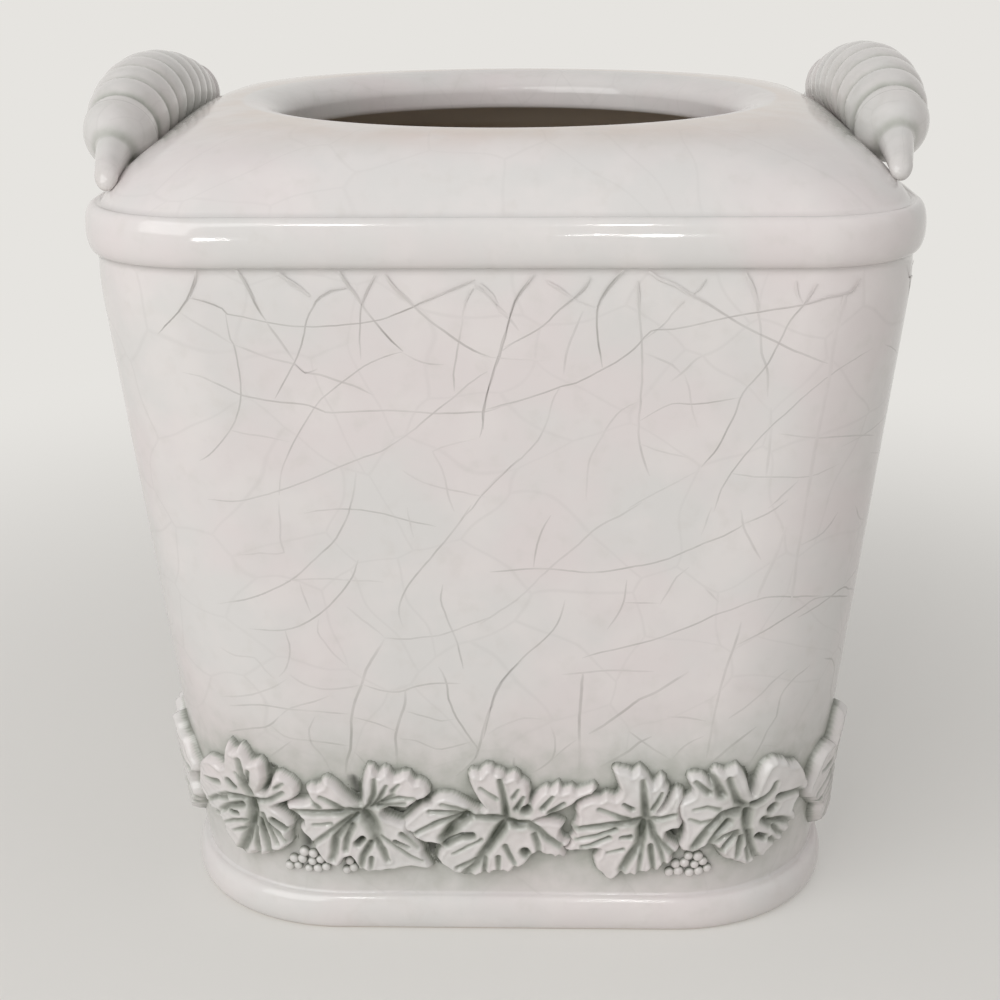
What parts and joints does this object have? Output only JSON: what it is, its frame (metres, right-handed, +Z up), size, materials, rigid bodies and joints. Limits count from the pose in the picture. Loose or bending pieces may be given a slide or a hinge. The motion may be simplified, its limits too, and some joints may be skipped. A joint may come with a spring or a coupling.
{
  "type": "tissue box cover",
  "caption": "Square glazed ceramic cover that drops over an upright box of tissues, with a round opening on top, ribbed side handles and a band of relief vine leaves.",
  "frame": {"origin": "middle of the foot, on the surface that the cover stands on", "axes": "+Z up, -Y towards the viewer of the front side, +X to that viewer's right; the handles run along Y over the left and right sides"},
  "size_m": [0.1786, 0.1616, 0.179],
  "materials": {
    "glaze_body": "glossy cream-white crackle glaze",
    "glaze_handles": "glossy cream-white crackle glaze, a little grey-green in the grooves",
    "glaze_leaves": "glossy cream-white glaze with a grey-green wash in the hollows",
    "glaze_grapes": "glossy cream-white glaze with a grey-green wash in the hollows"
  },
  "bodies": {
    "root": {"body_shell": "glaze_body", "handle_left": "glaze_handles", "handle_right": "glaze_handles", "leaf_01": "glaze_leaves", "leaf_02": "glaze_leaves", "leaf_03": "glaze_leaves", "leaf_04": "glaze_leaves", "leaf_05": "glaze_leaves", "leaf_06": "glaze_leaves", "leaf_07": "glaze_leaves", "leaf_08": "glaze_leaves", "leaf_09": "glaze_leaves", "leaf_10": "glaze_leaves", "leaf_11": "glaze_leaves", "leaf_12": "glaze_leaves", "leaf_13": "glaze_leaves", "leaf_14": "glaze_leaves", "leaf_15": "glaze_leaves", "leaf_16": "glaze_leaves", "leaf_17": "glaze_leaves", "leaf_18": "glaze_leaves", "grapes_front_left": "glaze_grapes", "grapes_front_right": "glaze_grapes", "grapes_right_left": "glaze_grapes", "grapes_right_right": "glaze_grapes", "grapes_back_left": "glaze_grapes", "grapes_back_right": "glaze_grapes", "grapes_left_left": "glaze_grapes", "grapes_left_right": "glaze_grapes"}
  },
  "joints": []
}
